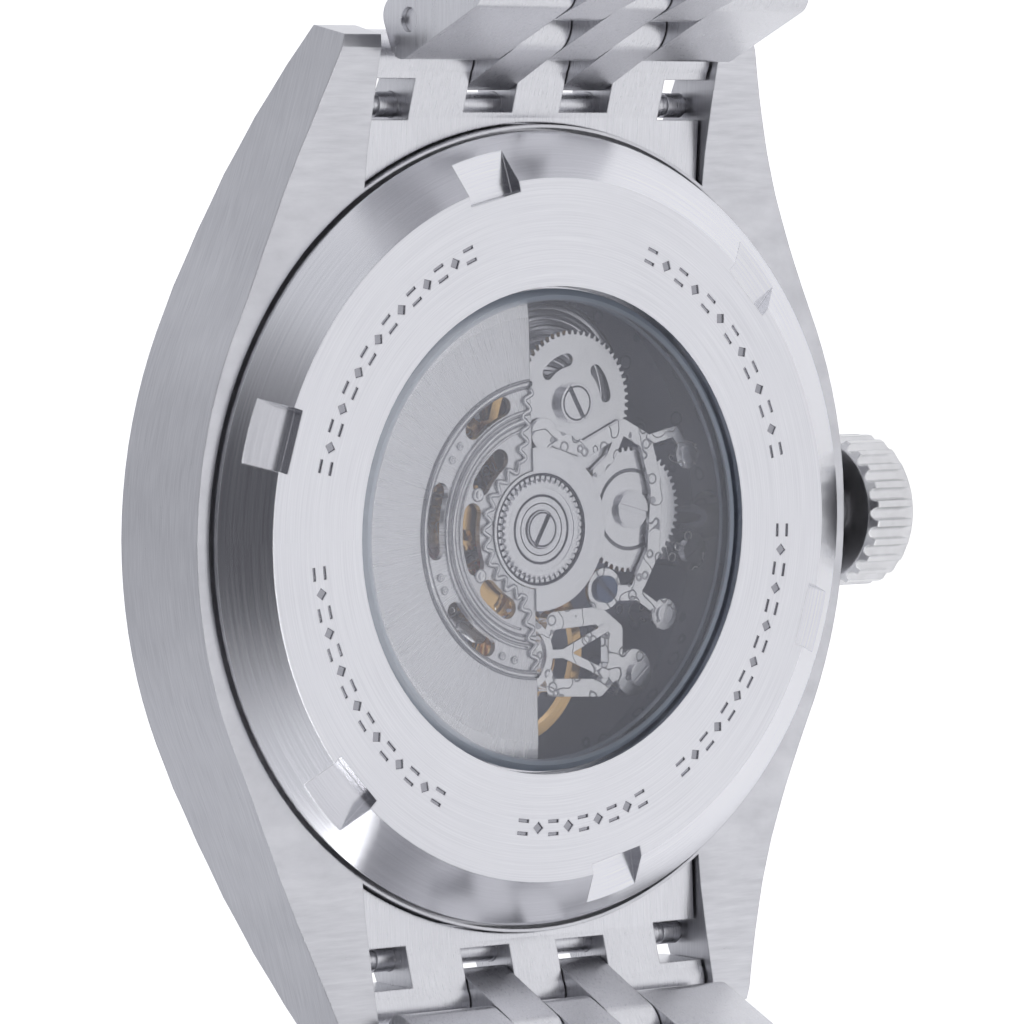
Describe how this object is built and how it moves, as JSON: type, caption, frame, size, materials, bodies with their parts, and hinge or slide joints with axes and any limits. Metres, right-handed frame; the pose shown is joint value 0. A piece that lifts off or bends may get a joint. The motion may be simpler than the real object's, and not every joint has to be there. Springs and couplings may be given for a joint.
{
  "type": "automatic wristwatch",
  "caption": "Automatic wristwatch with a glazed case back, open rotor and wheels, fluted crown, and a tapering five-row steel bracelet with a folding clasp.",
  "frame": {"origin": "centre of the case back crystal's outer face", "axes": "+Y out of the case back along the watch's axis, the dial faces -Y; +X towards 12 o'clock; +Z towards 9 o'clock, the crown points along -Z"},
  "size_m": [0.059, 0.0601, 0.0437],
  "materials": {
    "steel": "brushed, with polished edges",
    "crystal": "clear, flat and polished",
    "dark": "plated dark grey, fine blasted",
    "bridge": "rhodium plated and engraved",
    "brass": "gilt",
    "weight": "radially brushed, with a bevelled border",
    "ruby": "polished"
  },
  "bodies": {
    "watch": {"case_body": "steel", "bezel": "steel", "front_crystal": "crystal", "caseback": "steel", "caseback_crystal": "crystal", "mainplate": "dark", "bridges": "bridge", "screws": "steel", "jewels": "ruby", "dial": "dark", "end_links": "steel"},
    "rotor": {"rotor_weight": "weight", "rotor_hub": "steel"},
    "reverser_a": {"reverser_wheel_a": "brass"},
    "reverser_b": {"reverser_wheel_b": "brass"},
    "reduction": {"reduction_wheel": "brass"},
    "stem": {"winding_stem": "steel"},
    "crown_body": {"crown": "steel"},
    "pinion": {"winding_pinion": "steel"},
    "crown_wheel_body": {"crown_wheel": "steel"},
    "ratchet": {"ratchet_wheel": "steel"},
    "barrel_body": {"barrel": "brass"},
    "centre": {"centre_wheel": "brass", "minute_hand": "steel"},
    "third": {"third_wheel": "brass"},
    "fourth": {"fourth_wheel": "brass", "seconds_hand": "steel"},
    "escape": {"escape_wheel": "brass"},
    "fork": {"pallet_fork": "steel"},
    "balance": {"balance_wheel": "brass"},
    "hours": {"hour_hand": "steel"},
    "six_01": {"six_link_01": "steel"},
    "six_02": {"six_link_02": "steel"},
    "six_03": {"six_link_03": "steel"},
    "six_04": {"six_link_04": "steel"},
    "six_05": {"six_link_05": "steel"},
    "six_06": {"six_link_06": "steel"},
    "six_07": {"six_link_07": "steel"},
    "six_08": {"six_link_08": "steel"},
    "six_09": {"six_link_09": "steel"},
    "six_10": {"six_link_10": "steel"},
    "six_11": {"six_link_11": "steel"},
    "six_12": {"six_link_12": "steel"},
    "six_13": {"six_link_13": "steel"},
    "twelve_01": {"twelve_link_01": "steel"},
    "twelve_02": {"twelve_link_02": "steel"},
    "twelve_03": {"twelve_link_03": "steel"},
    "twelve_04": {"twelve_link_04": "steel"},
    "twelve_05": {"twelve_link_05": "steel"},
    "twelve_06": {"twelve_link_06": "steel"},
    "twelve_07": {"twelve_link_07": "steel"},
    "twelve_08": {"twelve_link_08": "steel"},
    "twelve_09": {"twelve_link_09": "steel"},
    "twelve_10": {"twelve_link_10": "steel"},
    "twelve_11": {"twelve_link_11": "steel"},
    "twelve_12": {"twelve_link_12": "steel"},
    "twelve_13": {"twelve_link_13": "steel"},
    "cover": {"clasp_cover": "steel"},
    "middle": {"clasp_middle_blade": "steel"},
    "lower": {"clasp_lower_blade": "steel"}
  },
  "joints": [
    {"name": "rotor_spin", "type": "hinge", "parent": "watch", "child": "rotor", "pos_m": [0, -0.0012, 0], "axis": [0, 1, 0], "continuous": true},
    {"name": "reverser_a_spin", "type": "hinge", "parent": "watch", "child": "reverser_a", "pos_m": [-0.00068, -0.0018, 0.00384], "axis": [0, 1, 0], "continuous": true},
    {"name": "reverser_b_spin", "type": "hinge", "parent": "watch", "child": "reverser_b", "pos_m": [0.0029, -0.0018, 0.00261], "axis": [0, 1, 0], "continuous": true},
    {"name": "reduction_spin", "type": "hinge", "parent": "watch", "child": "reduction", "pos_m": [-0.0043, -0.0027, 0.0019], "axis": [0, 1, 0], "continuous": true},
    {"name": "ratchet_turn", "type": "hinge", "parent": "watch", "child": "ratchet", "pos_m": [-0.0058, -0.0024, -0.00285], "axis": [0, 1, 0], "continuous": true},
    {"name": "crown_wheel_turn", "type": "hinge", "parent": "watch", "child": "crown_wheel_body", "pos_m": [-0.00065, -0.0024, -0.0064], "axis": [0, 1, 0], "continuous": true},
    {"name": "winding_pinion_turn", "type": "hinge", "parent": "watch", "child": "pinion", "pos_m": [0, -0.0042, -0.0087], "axis": [0, 0, -1], "continuous": true},
    {"name": "seconds_turn", "type": "hinge", "parent": "watch", "child": "fourth", "pos_m": [0, -0.0036, 0], "axis": [0, 1, 0], "continuous": true},
    {"name": "third_turn", "type": "hinge", "parent": "watch", "child": "third", "pos_m": [0.00144, -0.0038, 0.00395], "axis": [0, 1, 0], "continuous": true},
    {"name": "minutes_turn", "type": "hinge", "parent": "watch", "child": "centre", "pos_m": [0, -0.0041, 0], "axis": [0, 1, 0], "continuous": true},
    {"name": "hours_turn", "type": "hinge", "parent": "watch", "child": "hours", "pos_m": [0, -0.0066, 0], "axis": [0, 1, 0], "continuous": true},
    {"name": "barrel_turn", "type": "hinge", "parent": "watch", "child": "barrel_body", "pos_m": [-0.0058, -0.0047, -0.00285], "axis": [0, 1, 0], "continuous": true},
    {"name": "escape_turn", "type": "hinge", "parent": "watch", "child": "escape", "pos_m": [0.00185, -0.0045, -0.00375], "axis": [0, 1, 0], "continuous": true},
    {"name": "fork_swing", "type": "hinge", "parent": "watch", "child": "fork", "pos_m": [0.00455, -0.0045, -0.00295], "axis": [0, 1, 0], "range_deg": [-4, 4]},
    {"name": "balance_swing", "type": "hinge", "parent": "watch", "child": "balance", "pos_m": [0.006, -0.0032, 0.0002], "axis": [0, 1, 0], "range_deg": [-270, 270]},
    {"name": "crown_pull", "type": "slide", "parent": "watch", "child": "stem", "axis": [0, 0, -1], "range_m": [0, 0.001]},
    {"name": "crown_turn", "type": "hinge", "parent": "stem", "child": "crown_body", "pos_m": [0, -0.0042, -0.0218], "axis": [0, 0, -1], "continuous": true},
    {"name": "six_hinge_01", "type": "hinge", "parent": "watch", "child": "six_01", "pos_m": [-0.022, -0.00205, 0], "axis": [0, 0, 1], "range_deg": [0, 70]},
    {"name": "six_hinge_02", "type": "hinge", "parent": "six_01", "child": "six_02", "pos_m": [-0.02364, 0.00132, 0], "axis": [0, 0, 1], "range_deg": [0, 5]},
    {"name": "six_hinge_03", "type": "hinge", "parent": "six_02", "child": "six_03", "pos_m": [-0.02517, 0.00475, 0], "axis": [0, 0, 1], "range_deg": [0, 7]},
    {"name": "six_hinge_04", "type": "hinge", "parent": "six_03", "child": "six_04", "pos_m": [-0.02645, 0.00827, 0], "axis": [0, 0, 1], "range_deg": [0, 7]},
    {"name": "six_hinge_05", "type": "hinge", "parent": "six_04", "child": "six_05", "pos_m": [-0.02748, 0.01188, 0], "axis": [0, 0, 1], "range_deg": [0, 7]},
    {"name": "six_hinge_06", "type": "hinge", "parent": "six_05", "child": "six_06", "pos_m": [-0.02826, 0.01554, 0], "axis": [0, 0, 1], "range_deg": [0, 7]},
    {"name": "six_hinge_07", "type": "hinge", "parent": "six_06", "child": "six_07", "pos_m": [-0.02879, 0.01926, 0], "axis": [0, 0, 1], "range_deg": [0, 7]},
    {"name": "six_hinge_08", "type": "hinge", "parent": "six_07", "child": "six_08", "pos_m": [-0.02905, 0.023, 0], "axis": [0, 0, 1], "range_deg": [0, 7]},
    {"name": "six_hinge_09", "type": "hinge", "parent": "six_08", "child": "six_09", "pos_m": [-0.02905, 0.02675, 0], "axis": [0, 0, 1], "range_deg": [0, 5]},
    {"name": "six_hinge_10", "type": "hinge", "parent": "six_09", "child": "six_10", "pos_m": [-0.02892, 0.0305, 0], "axis": [0, 0, 1], "range_deg": [0, 5]},
    {"name": "six_hinge_11", "type": "hinge", "parent": "six_10", "child": "six_11", "pos_m": [-0.02866, 0.03424, 0], "axis": [0, 0, 1], "range_deg": [0, 3]},
    {"name": "six_hinge_12", "type": "hinge", "parent": "six_11", "child": "six_12", "pos_m": [-0.02839, 0.03798, 0], "axis": [0, 0, 1], "range_deg": [0, 9]},
    {"name": "six_hinge_13", "type": "hinge", "parent": "six_12", "child": "six_13", "pos_m": [-0.02774, 0.04167, 0], "axis": [0, 0, 1], "range_deg": [0, 23]},
    {"name": "twelve_hinge_01", "type": "hinge", "parent": "watch", "child": "twelve_01", "pos_m": [0.022, -0.00205, 0], "axis": [0, 0, -1], "range_deg": [0, 70]},
    {"name": "twelve_hinge_02", "type": "hinge", "parent": "twelve_01", "child": "twelve_02", "pos_m": [0.02364, 0.00132, 0], "axis": [0, 0, -1], "range_deg": [0, 5]},
    {"name": "twelve_hinge_03", "type": "hinge", "parent": "twelve_02", "child": "twelve_03", "pos_m": [0.02517, 0.00475, 0], "axis": [0, 0, -1], "range_deg": [0, 11]},
    {"name": "twelve_hinge_04", "type": "hinge", "parent": "twelve_03", "child": "twelve_04", "pos_m": [0.0262, 0.00835, 0], "axis": [0, 0, -1], "range_deg": [0, 10]},
    {"name": "twelve_hinge_05", "type": "hinge", "parent": "twelve_04", "child": "twelve_05", "pos_m": [0.02679, 0.01205, 0], "axis": [0, 0, -1], "range_deg": [0, 9]},
    {"name": "twelve_hinge_06", "type": "hinge", "parent": "twelve_05", "child": "twelve_06", "pos_m": [0.02699, 0.0158, 0], "axis": [0, 0, -1], "range_deg": [0, 7]},
    {"name": "twelve_hinge_07", "type": "hinge", "parent": "twelve_06", "child": "twelve_07", "pos_m": [0.02692, 0.01955, 0], "axis": [0, 0, -1], "range_deg": [0, 7]},
    {"name": "twelve_hinge_08", "type": "hinge", "parent": "twelve_07", "child": "twelve_08", "pos_m": [0.02659, 0.02329, 0], "axis": [0, 0, -1], "range_deg": [0, 7]},
    {"name": "twelve_hinge_09", "type": "hinge", "parent": "twelve_08", "child": "twelve_09", "pos_m": [0.02601, 0.02699, 0], "axis": [0, 0, -1], "range_deg": [0, 7]},
    {"name": "twelve_hinge_10", "type": "hinge", "parent": "twelve_09", "child": "twelve_10", "pos_m": [0.02516, 0.03064, 0], "axis": [0, 0, -1], "range_deg": [0, 7]},
    {"name": "twelve_hinge_11", "type": "hinge", "parent": "twelve_10", "child": "twelve_11", "pos_m": [0.02407, 0.03423, 0], "axis": [0, 0, -1], "range_deg": [0, 7]},
    {"name": "twelve_hinge_12", "type": "hinge", "parent": "twelve_11", "child": "twelve_12", "pos_m": [0.02272, 0.03773, 0], "axis": [0, 0, -1], "range_deg": [0, 9]},
    {"name": "twelve_hinge_13", "type": "hinge", "parent": "twelve_12", "child": "twelve_13", "pos_m": [0.02102, 0.04107, 0], "axis": [0, 0, -1], "range_deg": [0, 11]},
    {"name": "clasp_hinge", "type": "hinge", "parent": "twelve_13", "child": "cover", "pos_m": [0.01887, 0.04414, 0], "axis": [0, 0, -1], "range_deg": [0, 60]},
    {"name": "middle_blade_hinge", "type": "hinge", "parent": "cover", "child": "middle", "pos_m": [-0.02129, 0.04609, 0], "axis": [0, 0, -1], "range_deg": [0, 80]},
    {"name": "lower_blade_hinge", "type": "hinge", "parent": "middle", "child": "lower", "pos_m": [0.01414, 0.04501, 0], "axis": [0, 0, 1], "range_deg": [0, 70]}
  ],
  "couplings": [
    {"joint": "reverser_a_spin", "follows": "rotor_spin", "ratio": -1.6667},
    {"joint": "reverser_b_spin", "follows": "rotor_spin", "ratio": -1.6667},
    {"joint": "reduction_spin", "follows": "rotor_spin", "ratio": 0.23148},
    {"joint": "third_turn", "follows": "seconds_turn", "ratio": -0.13333},
    {"joint": "minutes_turn", "follows": "seconds_turn", "ratio": 0.016667},
    {"joint": "hours_turn", "follows": "seconds_turn", "ratio": 0.0013889},
    {"joint": "barrel_turn", "follows": "seconds_turn", "ratio": -0.0047619},
    {"joint": "escape_turn", "follows": "seconds_turn", "ratio": -12},
    {"joint": "crown_wheel_turn", "follows": "crown_turn", "ratio": -0.30769},
    {"joint": "ratchet_turn", "follows": "crown_turn", "ratio": 0.26667},
    {"joint": "winding_pinion_turn", "follows": "crown_turn", "ratio": 1}
  ]
}
